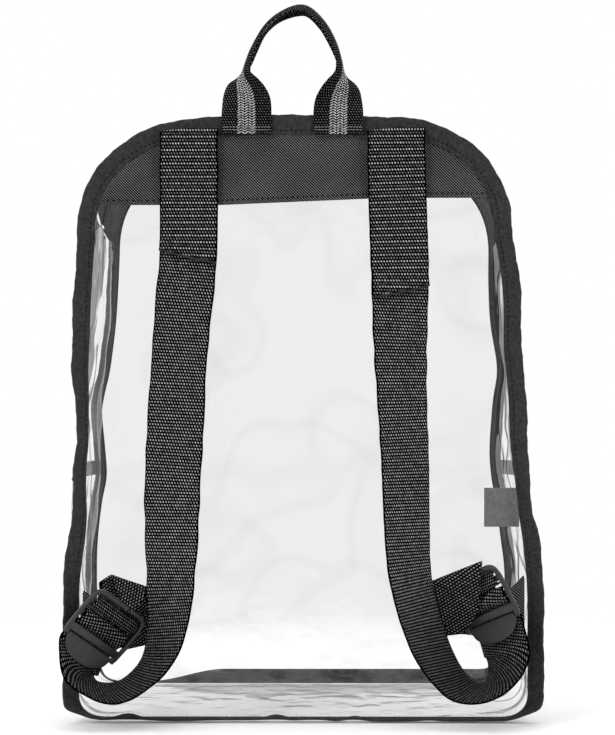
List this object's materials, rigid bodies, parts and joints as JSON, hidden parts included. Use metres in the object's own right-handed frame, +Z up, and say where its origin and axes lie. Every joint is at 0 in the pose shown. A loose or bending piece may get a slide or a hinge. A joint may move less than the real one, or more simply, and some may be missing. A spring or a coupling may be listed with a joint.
{
  "type": "clear backpack",
  "caption": "Clear vinyl backpack with taped seams, webbing shoulder straps in ladder-lock buckles, side pockets and a webbing grab handle, standing upright.",
  "frame": {"origin": "middle of the footprint, on the surface that the bag stands on", "axes": "+Z up, -Y towards the strap side, +X to the right seen from the strap side"},
  "size_m": [0.3204, 0.1974, 0.4643],
  "materials": {
    "clear_vinyl": "clear soft vinyl sheet",
    "black_twill": "black polyester twill",
    "binding_tape": "black woven binding tape",
    "strap_webbing": "black woven webbing",
    "handle_webbing": "black webbing with a pale middle stripe",
    "buckle_plastic": "black moulded plastic, satin",
    "zip_coil": "black coil zipper on tape",
    "zip_metal": "black enamelled slider",
    "label_cloth": "thin grey label cloth"
  },
  "bodies": {
    "root": {"back_panel": "clear_vinyl", "front_panel": "clear_vinyl", "side_gusset": "clear_vinyl", "side_pocket_left": "clear_vinyl", "side_pocket_right": "clear_vinyl", "pocket_hem_left": "binding_tape", "pocket_hem_right": "binding_tape", "top_gusset_back": "black_twill", "top_gusset_front": "black_twill", "zipper": "zip_coil", "zip_slider": "zip_metal", "back_binding": "binding_tape", "front_binding": "binding_tape", "back_yoke": "black_twill", "shoulder_strap_left": "strap_webbing", "shoulder_strap_right": "strap_webbing", "strap_lap_left": "strap_webbing", "strap_lap_right": "strap_webbing", "buckle_left": "buckle_plastic", "buckle_right": "buckle_plastic", "anchor_webbing_left": "strap_webbing", "anchor_webbing_right": "strap_webbing", "anchor_wing_left": "black_twill", "anchor_wing_right": "black_twill", "grab_handle": "handle_webbing", "care_label": "label_cloth"}
  },
  "joints": []
}
